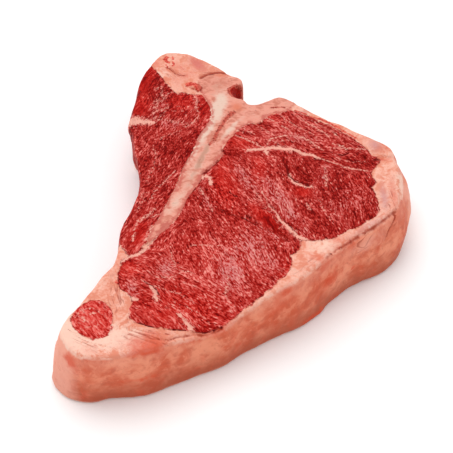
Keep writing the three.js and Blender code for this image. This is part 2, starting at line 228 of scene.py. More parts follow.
CREASES = strokes(
    # Furrows in the lobes and between them.
    (((-5, -61), (-4, -64.5), (-5.5, -70.5), (-5, -73)), 0.6, 0.5, 1, 1),
    (((-41, -76.5), (-39.5, -76)), 0.9, 0.6, 1, 1.2),
    (((-44.5, -65.5), (-40, -69), (-37, -73)), 0.4, 0.5, 1, 0.6),
    (((4, -21.5), (8, -26.5), (12.5, -30), (18, -33), (23, -38)), 0.6, 0.8, 1.5, 1.2),
    (((-5, -5), (0, -9.5), (4, -11.5), (9, -14.5), (14, -20)), 0.5, 0.4, 1.2, 0.8),
    (((0.5, -1), (3, -6), (8, -11), (13, -16.5)), 0.4, 0.4, 0.9, 0.5),
    (((12.5, -9), (16.5, -16.5), (20.5, -24), (24.5, -30)), 0.4, 0.5, 1.1, 0.5),
    (((18, -19), (22, -27.5), (27, -34)), 0.4, 0.4, 0.9, 0.4),
    (((-9, -17), (-3, -20), (2, -23), (8, -28.5)), 0.5, 0.5, 1.2, 0.7),
    (((24, 14), (24.5, 8), (27.5, 2.5), (31, 1.5), (34.5, 3)), 0.8, 0.8, 1, 0.6),
    (((29.5, 12.5), (33, 9.5), (34.5, 4), (34, -0.5)), 1.2, 1.6, 1, 0.8),
    # The ragged notch between the bone and the strip loin.
    (((-10.5, 18), (-13.5, 14), (-15.5, 10.5), (-18.5, 8.5)), 1, 1.1, 1, 1),
    (((-9, 26), (-4.5, 25.5), (0.5, 26)), 0.8, 0.4, 1, 0.7),
    # Under the lean's low front edge.
    (((-32, -97.2, 32), (-27, -94.3, 30.5), (-21, -91.7, 29), (-14, -90.2, 27.5),
      (-8, -87.3, 26.5)), 0.5, 0.8, 1.8, 0.6),
    (((-47, -88), (-40, -90.8), (-33, -91.6), (-25, -89.8)), 0.4, 0.5, 1.2, 0.5),
    # In the fat beside the vertebra, and round the vertebra itself.
    (((-40, 95), (-37, 93.5), (-34, 89), (-28.5, 87.5)), 0.5, 0.5, 1.4, 0.5),
    (((-20.5, 86.3), (-17, 89.3), (-11, 90.3), (-6.5, 89.8)), 1.1, 0.6, 1.8, 0.5),
    (((-6.5, 90), (-4.5, 86), (-3.5, 82.5)), 0.5, 0.4, 1, 0.5),
    (((-28.5, 79), (-25, 77.2), (-21.5, 74.6)), 0.5, 0.5, 1.8, 0.6),
    # At the head of the upper lobe.
    (((17.5, 60.5), (19.5, 59.4), (22, 60.4)), 0.6, 0.5, 0.9, 0.4),
    (((49, 24.2), (52.5, 22.8), (56, 24.6)), 0.7, 0.8, 1, 0.5),
    # The crease under the rim at the thick end, the folded corner and creases down the wall.
    (((76.5, -17, 32), (72, -22.5, 33), (66, -28.5, 33), (58, -34, 33)), 0.6, 0.75, 2.3, 0.8),
    (((58, -34, 33), (50.5, -40, 33), (45, -44.5, 33), (41, -49, 32.5)), 0.85, 0.5, 2.3, 0.8),
    (((65.5, 21.5, 34), (70, 20.3, 34), (73.5, 23, 33.5), (79, 24.5, 32)), 0.8, 0.5, 1.9, 1),
    (((76, -19, 31), (74.5, -29, 27), (74, -34, 20)), 0.5, 0.5, 1.6, 0.5),
    (((77, -2, 33.5), (76.5, -8, 33.5), (77.5, -14, 33)), 0.8, 0.5, 0.8, 0.4),
    (((82, 4, 25), (82.5, -6, 24), (80, -16, 26)), 0.5, 0.5, 0.8, 0.5),
    (((38, -51.5, 33), (30, -57.5, 33), (23, -64, 32)), 0.4, 0.4, 0.9, 0.4),
    (((22, -66, 30), (15, -73, 29), (4, -82, 30)), 0.35, 0.35, 0.8, 0.3),
    (((48, -45, 14), (40, -52, 16), (30, -61, 14)), 0.4, 0.4, 0.7, 0.4),
    # Thin creases round the tail.
    (((-60, -62), (-59, -68), (-58.5, -74), (-56.5, -80), (-57, -89)), 0.5, 0.4, 1, 0.5),
    (((-77.5, -93.5), (-70.5, -98.5), (-66.5, -100.5), (-60, -102.5), (-54, -104)), 0.4, 0.4, 1, 0.4),
    (((-52, -79), (-51.5, -85), (-49.5, -91), (-45, -93.5)), 0.4, 0.4, 1, 0.4),
    (((-60, -66), (-63.5, -64), (-68, -66)), 0.35, 0.4, 0.8, 0.3),
    (((-48, -92.5), (-41, -94), (-34, -94.3), (-27, -92.3)), 0.4, 0.4, 1.2, 0.5),
    (((-52, -92), (-44, -95.5), (-38, -97.2), (-33, -97)), 0.4, 0.45, 1.2, 0.5),
    (((-55, -95), (-48, -99), (-41, -101.5)), 0.35, 0.35, 0.8, 0.4),
    (((-60, -106.5, 12), (-52, -106, 10), (-44, -105, 11)), 0.4, 0.4, 0.8, 0.4),
    (((-74, -108, 22), (-73, -108.5, 16), (-75.5, -107.5, 13)), 0.5, 0.5, 0.8, 0.4),
    # Pits and pores of the bone.
    (((5.5, 60.5), (6.5, 59.5)), 0.5, 0.4, 0.6, 0.3),
    (((8.5, 58), (9.5, 57)), 0.4, 0.5, 0.6, 0.3),
    (((6, 50.5), (7, 49.7)), 0.5, 0.4, 0.6, 0.3),
    (((-16.5, 29), (-17.2, 27.5)), 0.7, 0.5, 0.5, 0.3),
    (((-6, 48), (-6.3, 46.8)), 0.7, 0.5, 1, 0.7),
    (((-7.8, 44), (-8.6, 42.4)), 0.7, 0.7, 1, 0.8),
    (((-10.6, 38.6), (-11, 37.6)), 0.5, 0.5, 1, 0.6),
    (((-13.3, 34.5), (-14, 31.5)), 0.8, 0.6, 1, 0.8),
    (((-19.5, 20), (-20.5, 17)), 0.4, 0.3, 0.5, 0.2),
    (((-25, 9.5), (-26.5, 5)), 0.4, 0.3, 0.5, 0.2),
    # Ragged dark marks along the foot of the wall, painted shade where it meets the floor.
    (((50, -42, 1), (59, -36, 0.5), (66, -31.5, 1)), 0.8, 0.9, 0.8, 0.3),
    (((39.5, -53, 1), (34, -60, 1), (24, -67, 1)), 0.5, 0.4, 0.7, 0.2),
)

FLECKS = strokes(
    # The red crease under the lean's low front edge.
    (((-25, -92.8, 30.5), (-19, -90.7, 29), (-13, -89.3, 28), (-8.5, -87, 27)), 0.9, 1, 2),
    # The marrow strip down the bone, and the lining of the spinal groove.
    (((-3.5, 56), (-7, 50.5), (-10, 43), (-12.5, 36), (-14.8, 30.5)), 1.7, 1.1, 1, 0.3),
    (((0.5, 73.8, 31), (0.5, 73.8, 0)), 0.9, 0.9, 7.9),
    # Lean beside the vertebra and along the upper rim.
    (((-27.5, 80), (-25, 80.2), (-22.5, 78.4), (-21, 76)), 1.2, 1.2, 1.5, -0.3),
    (((18, 60), (24.5, 60)), 0.7, 0.6),
    (((-17.5, 8.5), (-15, 11), (-12.5, 13.5)), 0.9, 0.8, 1.4),
    (((29.5, 58.2), (36, 55)), 0.9, 0.7),
    (((37.5, 53.6), (46.5, 49.5), (54, 42.5), (60.5, 36.5)), 1, 0.8),
    # Specks in the fat.
    (((-39.5, 104.5), (-40.3, 101.5), (-38.8, 99)), 0.8, 0.8, 1.3),
    (((-36.8, 104.5), (-36, 102.5)), 0.6, 0.7, 1.2),
    (((-36.5, 99.5), (-35.6, 97.5), (-36.5, 96)), 0.7, 0.5, 1.1),
    (((-40, 97), (-39, 95)), 0.6, 0.5),
    (((-57.2, -65), (-56.2, -65.4)), 1.5, 1.3, 0.8),
)

OVERLAPS = strokes(
    # Lean that spreads over the fat: up to the thin seam on both sides, and over the front edge.
    (((-43, -24), (-46, -33), (-48.5, -40), (-51.5, -46)), 2.2, 2.6),
    (((-34, -30), (-38.5, -37), (-42, -42.5), (-47, -47.7), (-54, -53)), 2.2, 2),
    (((-26, -88), (-19, -88.6), (-12.5, -86.5)), 1, 1.3),
)

STROKES = {Mark.PALE: STREAKS, Mark.DARK: CREASES, Mark.RED: FLECKS}
SUNK = tuple(stroke for stroke in STREAKS + CREASES + FLECKS if stroke.depth)

PATCHES = {
    # Painted sheen: grey-pink highlight patches on the lean.
    Tone.SHEEN: patches(
        ((19, -9), (4, 15), 1, -26, -0.4), ((25, -22), (3.5, 12), 1, -28), ((15, -34), (8, 2.5), 0.7, 40),
        ((43, 6), (2.6, 9), 0.9, 5, -0.3), ((4, 3), (3, 10), 1, -30), ((4.5, -44), (13, 9), 0.75, -40),
        ((-4.5, -58), (7, 10), 0.9), ((-17, -9), (2.6, 9), 1, -18, 0.4),
        ((-35, -56.5), (3.6, 5), 0.8, 0, 0.5), ((-50, -70.5), (3, 5), 0.8, -35), ((-35.5, 47), (6, 3), 0.8),
        ((-42.5, 62), (3, 12), 0.9, 8), ((13, -53), (7, 7), 0.6), ((50, -10), (11, 12), 0.55),
        ((30, 36), (10, 3), 0.6, 10),
    ),
    # Deep red zones; in the hollows and furrows they are partly painted shade.
    Tone.DEEP: patches(
        ((33, 10), (5, 9), 1, 10, 1.3), ((60, -9), (7, 13), 0.7, 0, 0.2),
        ((-48.5, -33), (3, 10), 0.8, 20, 0.3), ((-18.5, 60), (2.8, 10), 1, 10, 0.4),
        ((59, 20), (8, 5), 0.9, 80, 0.4), ((-3, 24), (6, 3), 1.1, 0, 0.5),
        ((26, -46), (3, 7), 0.7, 10, 0.3), ((-31, 66), (5, 8), 0.45, 15, 0.4),
        ((17, -30), (1.8, 11), 1.3, -40, 0.9), ((19, -27), (1.8, 12), 0.8, -28), ((23, 12), (3, 8), 0.7, 5),
        ((42, -20), (11, 14), 0.5), ((5, -17), (1.6, 9), 0.6, -45, 0.6),
        ((-2, -3), (1.4, 7), 0.6, -28, 0.4), ((16, 22.5), (12, 1.6), 0.9, 0, 0.5),
        ((-27, -77), (5, 2), 0.6, 0, 0.4), ((-15, -89.5), (9, 2.2), 1.2), ((-45, 68), (15, 30), 0.9, 10),
        ((-51, 76), (3, 20), 0.5, 10), ((-44, -75), (3, 1.6), 1, 60, 0.5),
        ((26, 32), (6, 1.4), 0.9, 0, 0.3), ((-41, -38), (1.6, 8), 0.7, 30, 0.2),
        ((-26, 30), (4, 16), 0.75, 18), ((-53, 90), (2, 12), 0.6, 10), ((-24, 48), (7, 14), 0.5, 15),
        ((-20, -30), (14, 14), 0.35), ((-38, 15), (16, 50), 0.3, 18), ((54, -4), (18, 26), 0.65),
    ),
    # Fresh bright red.
    Tone.BRIGHT: patches(
        ((-50, 82), (5, 16), 1.2, 12), ((-52, 62), (5, 10), 1.2, 5), ((-31, 65), (7, 10), 1.4, 15),
        ((-19, 60), (4, 12), 0.9, 10), ((-7, 0), (6, 19), 1.3, -5, -0.3),
        ((12, -23), (3.6, 10), 1.3, -40, -0.6), ((10, 13), (4, 9), 0.8), ((-48, -34), (4.5, 10), 1.2, 15),
        ((-52, -57), (7, 6), 1.2), ((-36, -84), (11, 5), 1.1), ((-30, -74), (7, 4)),
        ((-10, -76), (12, 9), 0.6), ((1, 32), (6, 5), 1.2), ((22, -56), (4, 9), 0.8, 20),
        ((31, -6), (4.5, 4), 1.3), ((60, 3), (5, 4), 0.5), ((-67, -88), (12, 12), 1.3),
        ((-26, -78), (26, 12)), ((-14, -54), (34, 26), 0.35), ((18, 52), (8, 4), 0.6, 40),
    ),
    # Where the pale grain fades away.
    Tone.CALM: patches(
        ((31, -6), (4, 3), 0.9), ((-51, 80), (5, 18), 1, 12), ((-53, 58), (4, 6)),
        ((-31, 64), (5, 7), 0.7, 15), ((-18, 60), (3.5, 11), 0.9, 10), ((1, 32), (5, 4.5)),
        ((-8, 8), (5, 13), 0.8, -5), ((12.5, -24), (3.4, 8), 1.1, -42), ((10, 12), (5, 9), 0.6),
        ((-54, -57), (5, 5)), ((-37, -85), (9, 4), 0.8), ((-46, -46), (5, 6), 0.7),
        ((-49, -35), (4.5, 10), 1.1, 15), ((-67, -88), (11, 11), 0.8),
    ),
    # Lighter flesh.
    Tone.LIGHT: patches(
        ((-14, -54), (32, 22), 0.9), ((-66.5, -87), (13, 13), 1.8), ((-28, -78), (30, 12), 0.35),
        ((28, 44), (30, 13), 0.6, -40), ((8, -4), (10, 20), 0.6, -28),
    ),
    # Orange-red flush on the fat.
    Tone.FLUSH: patches(
        ((-46, 97.5), (5, 6), 0.6), ((-22, 98), (4, 8), 1, -35, 0.3), ((-13, 92), (8, 3), 0.5),
        ((-30, 90), (16, 14), 0.4), ((-41, -102.5, 31), (12, 2.4), 1.1), ((-12, -90, 27), (13, 4), 0.75),
        ((-66, -104.5, 31), (5, 2), 0.7), ((52, -40, 32), (9, 2.5), 0.5), ((72, 21.5), (5, 2.5), 0.9, -10),
        ((76, -5), (2.5, 16), 0.5), ((-75.5, -105.5, 27), (4, 5)), ((-71.5, -109, 10), (2.4, 9), 0.7),
        ((-46, -106.5, 14), (12, 1.6), 0.6), ((55, -40, 16.5), (1.6, 1.4)),
        ((21, -67.5, 30), (4, 2.5), 0.8), ((43, -50, 22), (8, 6), 0.6), ((-1, 60), (4, 4), 0.8),
        ((-9, 88), (7, 2), 0.7), ((36, -56, 3), (12, 3), 0.8),
    ),
    # Grey cast of silverskin and of the vertebra.
    Tone.ASH: patches(
        ((-22, 98), (3.5, 7), 0.5, -35), ((71, -9), (1.8, 9), 0.9), ((62, -28), (1.6, 11), 0.6, 52),
        ((70, 31), (3, 4), 0.9), ((-10.5, 79), (5, 7), 0.55, 20, 0.3), ((33, 56), (5, 2), 0.6, -30),
        ((-19, 20), (1.5, 14), 1.1, 18), ((-24, 3), (2.2, 10), 0.45, 20),
    ),
    # Palest cream on the cut faces; the patches placed in space are painted light on the walls.
    Tone.CREAM: patches(
        ((-11, 60), (3.8, 13), 1.3, 12), ((-16.5, 43), (3, 15), 1.15, 20), ((-22, 26), (1.8, 12), 0.6, 22),
        ((-22, 12), (4.5, 26), 0.45, 19), ((-31, -12), (3, 12), 0.5, 25), ((-4.5, 42), (1.6, 12), 0.8, 33),
        ((7, 55), (6, 3), 0.3, 10), ((-44, 88), (6, 4), 0.7, -45), ((-52, -97), (9, 5), 0.8),
        ((40, -42), (6, 5), 0.5), ((-86, -98, 17), (15, 28), 1.6), ((88, 2, 15), (10, 30)),
        ((64, -36, 27), (12, 5), 0.7), ((-62, -98), (14, 7), 0.6),
    ),
    # Fine wrinkles of the fat, darkened with painted shade.
    Tone.WRINKLED: patches(
        ((-57, -74), (5, 14)), ((-43, -96), (14, 4), 1.2, 12), ((-70, -100), (8, 3), 0.8, 35),
        ((75, -14), (3.5, 12), 0.9), ((56, -37), (3, 14), 0.8, 52), ((33, -54), (4, 14), 0.6, 45),
        ((-35, 91), (8, 6), 0.8), ((-14, 92), (9, 3), 0.8), ((73, 22), (6, 6), 0.7),
    ),
}


class Clouds:
    """Smooth seeded noise in space, worked out on whole arrays."""

    TABLE = 8191
    SCATTER = np.array((73856093, 19349663, 83492791))  # large primes that spread the lattice
    SHIFT = 37.0  # how far one layer's lattice is moved from the last

    def __init__(self, seed: int) -> None:
        """Draws the table of lattice values."""
        self.values = np.random.default_rng(seed).uniform(-1.0, 1.0, self.TABLE)

    def at(self, points: Array, wavelength: float) -> Array:
        """Noise between -1 and 1 at each point.

        Args:
            points: Positions, one row each.
            wavelength: The spacing of the noise's lattice.

        Returns:
            One value for each row.
        """
        scaled = points / wavelength
        cell = np.floor(scaled).astype(np.int64)
        part = scaled - cell
        ease = part * part * (3.0 - 2.0 * part)
        total = np.zeros(len(points))
        for corner in itertools.product((0, 1), repeat=3):
            weight = np.prod(np.where(corner, ease, 1.0 - ease), axis=1)
            entry = np.bitwise_xor.reduce((cell + corner) * self.SCATTER, axis=1)
            total += weight * self.values[entry % self.TABLE]
        return total

    def layered(self, points: Array, wavelength: float, octaves: int) -> Array:
        """A sum of noises, each of half the wavelength and half the height of the last."""
        return sum(self.at(points + self.SHIFT * k, wavelength / 2**k) / 2**k for k in range(octaves))


def along_path(points: Array, path: Array, reach: float) -> tuple[Array, Array]:
    """How far each point is from an open path.

    Args:
        points: Positions, one row each.
        path: The path's corners, with as many coordinates as the points.
        reach: Distances beyond this are given as this.

    Returns:
        The distances, and how far along the path the nearest place is, from 0 to 1.
    """
    distance = np.full(len(points), reach)
    share = np.zeros(len(points))
    low, high = path.min(axis=0) - reach, path.max(axis=0) + reach
    near = np.flatnonzero(np.all((points > low) & (points < high), axis=1))
    lengths = np.linalg.norm(np.diff(path, axis=0), axis=1)
    before = np.concatenate([[0.0], np.cumsum(lengths)])
    for a, b, start, run in zip(path[:-1], path[1:], before, lengths):
        if run == 0.0:
            continue
        off = points[near] - a
        t = np.clip(off @ (b - a) / run**2, 0.0, 1.0)
        d = np.linalg.norm(off - t[:, None] * (b - a), axis=1)
        closer = d < distance[near]
        distance[near[closer]] = d[closer]
        share[near[closer]] = (start + t[closer] * run) / before[-1]
    return distance, share


def smooth_path(corners: Path, steps: int = 5) -> Array:
    """Rounds a path's corners with a Catmull-Rom curve.

    Args:
        corners: The path's corners.
        steps: Straight steps between two corners.

    Returns:
        The points of the curve.
    """
    knots = np.array(corners, float)
    if len(knots) < 3:
        return knots
    knots = np.vstack([2 * knots[0] - knots[1], knots, 2 * knots[-1] - knots[-2]])
    points = []
    for p0, p1, p2, p3 in zip(knots, knots[1:], knots[2:], knots[3:]):
        for t in np.arange(steps) / steps:
            place = 2 * p1 + (p2 - p0) * t + (2 * p0 - 5 * p1 + 4 * p2 - p3) * t**2
            points.append(0.5 * (place + (3 * p1 - p0 - 3 * p2 + p3) * t**3))
    return np.array(points + [knots[-2]])


class MeshWork:
    """Mesh tools shared by the skin and the pieces."""

    WELD = 1e-6  # metres between corners that are one

    @staticmethod
    def select_only(target: Body) -> None:
        """Makes one object the only selected one, and active."""
        bpy.ops.object.select_all(action="DESELECT")
        target.select_set(True)
        bpy.context.view_layer.objects.active = target

    @classmethod
    def copy_of(cls, node: str, name: str) -> Body:
        """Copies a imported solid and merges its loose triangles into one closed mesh.

        Args:
            node: The solid's name.
            name: The copy's name.

        Returns:
            The copy.
        """
        copy = bpy.data.objects.new(name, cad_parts[node].data.copy())
        bpy.context.scene.collection.objects.link(copy)
        copy.data.materials.clear()
        cls.select_only(copy)
        bpy.ops.object.mode_set(mode="EDIT")
        bpy.ops.mesh.select_all(action="SELECT")
        bpy.ops.mesh.remove_doubles(threshold=cls.WELD)
        bpy.ops.object.mode_set(mode="OBJECT")
        return copy

    @classmethod
    def modify(cls, target: Body, kind: str, **settings: object) -> None:
        """Adds a modifier and applies it.

        Args:
            target: The object.
            kind: The modifier's type.
            **settings: Its properties.
        """
        cls.select_only(target)
        modifier = target.modifiers.new("shape", kind)
        for name, value in settings.items():
            setattr(modifier, name, value)
        bpy.ops.object.modifier_apply(modifier=modifier.name)

    @staticmethod
    def vectors(rows: bpy.types.bpy_prop_collection, name: str) -> Array:
        """Reads a vector of each vertex."""
        flat = np.empty(3 * len(rows), np.float32)
        rows.foreach_get(name, flat)
        return flat.reshape(-1, 3).astype(float)

    @classmethod
    def points(cls, target: Body) -> Array:
        """The vertices' positions in millimetres."""
        return cls.vectors(target.data.vertices, "co") / MM

    @classmethod
    def normals(cls, target: Body) -> Array:
        """The vertices' outward normals."""
        return cls.vectors(target.data.vertex_normals, "vector")

    @staticmethod
    def place(target: Body, points: Array) -> None:
        """Moves the vertices to positions in millimetres, none of them below the floor."""
        points[:, 2] = np.maximum(points[:, 2], 0.0)
        target.data.vertices.foreach_set("co", (points * MM).astype(np.float32).ravel())
        target.data.update()


@dataclass
class Outline:
    """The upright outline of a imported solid, as the edges of its section at mid height."""

    node: str
    height: float = 15.0
    edges: Array = field(init=False)

    def __post_init__(self) -> None:
        """Cuts a copy of the solid and keeps the edges of the cut."""
        copy = MeshWork.copy_of(self.node, "section")
        bpy.ops.object.mode_set(mode="EDIT")
        bpy.ops.mesh.select_all(action="SELECT")
        level, up = (0.0, 0.0, self.height * MM), (0.0, 0.0, 1.0)
        bpy.ops.mesh.bisect(plane_co=level, plane_no=up, clear_inner=True, clear_outer=True)
        bpy.ops.object.mode_set(mode="OBJECT")
        pairs = np.array([tuple(edge.vertices) for edge in copy.data.edges])
        self.edges = MeshWork.points(copy)[:, :2][pairs]
        bpy.data.objects.remove(copy)

    def signed(self, x: Array, y: Array, reach: float) -> Array:
        """Distance to the outline over a grid in plan, below zero inside.

        Args:
            x: The grid's X coordinates, rising.
            y: The grid's Y coordinates, rising.
            reach: Distances beyond this are given as this.

        Returns:
            One distance for each grid point.
        """
        distance = np.full((len(x), len(y)), reach)
        inside = np.zeros(distance.shape, bool)
        for a, b in self.edges:
            along = b - a
            low, high = np.minimum(a, b), np.maximum(a, b)
            i = slice(*np.searchsorted(x, (low[0] - reach, high[0] + reach)))
            j = slice(*np.searchsorted(y, (low[1] - reach, high[1] + reach)))
            off = np.stack(np.meshgrid(x[i] - a[0], y[j] - a[1], indexing="ij"), axis=-1)
            t = np.clip(off @ along / max(along @ along, 1e-9), 0.0, 1.0)
            here = np.linalg.norm(off - t[..., None] * along, axis=-1)
            distance[i, j] = np.minimum(distance[i, j], here)
            if along[1]:
                j = slice(*np.searchsorted(y, (low[1], high[1])))
                inside[:, j] ^= x[:, None] < along[0] * (y[j] - a[1]) / along[1] + a[0]
        return np.where(inside, -distance, distance)


class Chart:
    """Where lean, fat and bone lie on the slice, and all that is drawn on them."""

    MUSCLES = ("strip_loin_upper", "strip_loin_middle", "strip_loin_lower", "tenderloin", "tail_eye")
    FATS = ("fat_cap", "fat_chine")
    BONES = ("bone",)
    SEED = 11
    REACH = 8.0  # how far from a border the map knows its distance
    SPACING = 0.35  # between the map's grid points
    MARGIN = 3.0  # of the map round the slice
    RIM = 4.0  # depth of the rim over which overlapping lean may hang
    FOOT = 20.0  # height below which it doesn't
    HANG = 6.0  # how far from an overlap its distance is known
    BLANK = -3.0  # the strokes' field far from any stroke
    BEND = (1.5, 11.0, (5, 9, 13))  # how far the grain bends, over what length, from which clouds
    LOOSE = (2.5, 6.0, (17, 21, 25))  # the same for the borders between directions
    # Spots where the grain's direction is known: place in plan, and degrees from +X.
    GRAIN = (
        (-38, 60, 70), (-36, 20, 74), (-44, -30, 62), (-12, 50, 62), (-25, 5, 62),
        (10, 42, -38), (40, 42, -42), (58, 24, -38),
        (20, 8, -66), (55, -5, -77), (30, -25, -68), (2, 5, -58),
        (-14, -12, -60), (-20, -45, -66), (12, -45, -66), (-38, -62, -40), (-20, -80, -36), (10, -68, -52),
        (-66, -87, -50),
    )
    # The same for the wrinkles of the fat.
    WRINKLES = (
        (-57, -72, 100), (-54, -86, 105), (-40, -97, -11), (-28, -98, 5), (-70, -99, -35), (-62, -63, 20),
        (75, -12, 95), (70, -24, 55), (58, -35, 38), (44, -46, 45), (30, -58, 45), (5, -82, 40),
        (73, 10, 80), (72, 26, -10), (-34, 91, -48), (-12, 92, 0), (-44, 100, 60), (-24, 100, -50),
    )

    def __init__(self) -> None:
        """Maps the distances to the borders between lean, fat and bone on a grid in plan."""
        self.clouds = Clouds(self.SEED)
        self.laid: dict[Stroke, Array] = {}
        low, high = (np.array(corner[:2]) / MM for corner in CAD_BOX)
        self.corner = low - self.MARGIN
        self.counts = np.ceil((high + self.MARGIN - self.corner) / self.SPACING).astype(int) + 1
        x, y = (self.corner[k] + self.SPACING * np.arange(self.counts[k]) for k in (0, 1))
        muscle, fat, bone = (
            np.minimum.reduce([Outline(node).signed(x, y, self.REACH) for node in kind])
            for kind in (self.MUSCLES, self.FATS, self.BONES)
        )
        self.lean_map = 0.5 * (muscle - np.minimum(fat, bone))
        self.bone_map = 0.5 * (bone - np.minimum(fat, muscle))

    def lay(self, surface: Array) -> None:
        """Lays the sunk strokes that are placed in space onto the surface's vertices."""
        for stroke in SUNK:
            if len(stroke.path[0]) == 3:
                near = [np.argmin(((surface - p) ** 2).sum(axis=1)) for p in smooth_path(stroke.path)]
                self.laid[stroke] = surface[near]

    def read(self, values: Array, points: Array) -> Array:
        """Reads a map between its grid points."""
        place = (points[:, :2] - self.corner) / self.SPACING
        cell = np.clip(np.floor(place).astype(int), 0, self.counts - 2)
        (i, j), (u, v) = cell.T, np.clip(place - cell, 0.0, 1.0).T
        near = values[i, j] * (1 - u) + values[i + 1, j] * u
        far = values[i, j + 1] * (1 - u) + values[i + 1, j + 1] * u
        return near * (1 - v) + far * v

    def regions(self, points: Array, buried: Array) -> tuple[Array, Array]:
        """Signed distances to the lean and to the bone, below zero inside.

        Args:
            points: Positions, one row each.
            buried: How deep each point lies below the nearer cut face.

        Returns:
            The distances to the lean and to the bone.
        """
        lean = self.read(self.lean_map, points)
        depth = np.clip(buried - self.RIM, 0.0, None)
        sunk = np.clip(self.FOOT - points[:, 2], 0.0, None)
        for stroke in OVERLAPS:
            distance, width = self.measure(stroke, points, depth, self.HANG)
            lean = np.minimum(lean, distance + sunk - width)
        return lean, self.read(self.bone_map, points)

    def grain(self, points: Array, lean: Array) -> tuple[Array, Array]:
        """Coordinates along and across the grain, and how far the direction holds.

        Each spot where the direction is known lays out its own straight coordinates, and the
        nearest spot's are used.

        Args:
            points: Positions, one row each.
            lean: The signed distance to the lean of each.

        Returns:
            The coordinates along, across and up, one row for each point, and the distance to
            where the next direction takes over.
        """
        bent = points + self.drift(points, *self.BEND)
        loose = bent + self.drift(points, *self.LOOSE)
        turns, margins = [], []
        for spots in (np.array(self.GRAIN, float), np.array(self.WRINKLES, float)):
            away = np.stack([np.hypot(*(loose[:, :2] - spot[:2]).T) for spot in spots])
            turns.append(np.radians(spots[np.argmin(away, axis=0), 2]))
            nearest = np.partition(away, 1, axis=0)
            margins.append(0.5 * (nearest[1] - nearest[0]))
        turn = np.where(lean < 0.0, *turns)
        along = bent[:, 0] * np.cos(turn) + bent[:, 1] * np.sin(turn)
        across = bent[:, 1] * np.cos(turn) - bent[:, 0] * np.sin(turn)
        return np.column_stack([along, across, bent[:, 2]]), np.where(lean < 0.0, *margins)

    def drift(self, points: Array, size: float, wavelength: float, shifts: Size) -> Array:
        """A smooth shift of each point, from the clouds at three places."""
        return size * np.column_stack([self.clouds.at(points + s, wavelength) for s in shifts])

    def wander(self, points: Array) -> Array:
        """Shifts points a little, so that drawn lines come out uneven."""
        wide = self.drift(points, 0.5, 4.0, (50.0, 100.0, 150.0))
        narrow = self.drift(points, 0.3, 1.4, (-70.0, -140.0, -210.0))
        return points + (wide + narrow) * (1.0, 1.0, 0.6)

    @staticmethod
    def spots(points: Array, buried: Array, size: int) -> Array:
        """Where a mark of 2 or 3 coordinates is measured: by depth below the cut faces, or in space."""
        return points if size == 3 else np.column_stack([points[:, :2], buried])

    def measure(self, stroke: Stroke, points: Array, buried: Array, reach: float) -> tuple[Array, Array]:
        """Distances to a stroke's line, and half the stroke's width there.

        Args:
            stroke: The stroke.
            points: Positions, one row each.
            buried: How deep each point lies below the nearer cut face.
            reach: Distances beyond this are given as this.

        Returns:
            The distances and the half widths.
        """
        path = self.laid[stroke] if stroke in self.laid else smooth_path(stroke.path)
        spots = self.spots(points, buried, path.shape[1])
        if path.shape[1] == 2:
            path = np.column_stack([path, np.zeros(len(path))])
        distance, share = along_path(spots, path, reach)
        return distance, stroke.start + (stroke.end - stroke.start) * share

    def stroke_field(self, drawn: tuple[Stroke, ...], points: Array, buried: Array) -> Array:
        """How strongly any of the strokes marks each point.

        Args:
            drawn: The strokes.
            points: Positions, already wandered.
            buried: How deep each point lies below the nearer cut face.

        Returns:
            The stroke's strength on its line, falling by 1 for each half width away from it.
        """
        best = np.full(len(points), self.BLANK)
        for stroke in drawn:
            reach = (stroke.strength - self.BLANK) * max(stroke.start, stroke.end)
            distance, width = self.measure(stroke, points, buried, reach)
            best = np.maximum(best, stroke.strength - distance / width)
        return best

    def patch_field(self, patch: Patch, points: Array, buried: Array) -> Array:
        """How strongly a patch covers each point.

        Args:
            patch: The patch.
            points: Positions, already wandered.
            buried: How deep each point lies below the nearer cut face.

        Returns:
            Its cover from 0 to 1.
        """
        size = len(patch.centre)
        x, y, z = (self.spots(points, buried, size) - np.array((*patch.centre, 0.0)[:3])).T
        if size == 3:
            across, up = np.hypot(x, y), z
        else:
            cos, sin = math.cos(math.radians(patch.turn)), math.sin(math.radians(patch.turn))
            across, up = x * cos - y * sin, np.hypot(x * sin + y * cos, z)
        return np.exp(-((across / patch.radii[0]) ** 2) - (up / patch.radii[1]) ** 2)


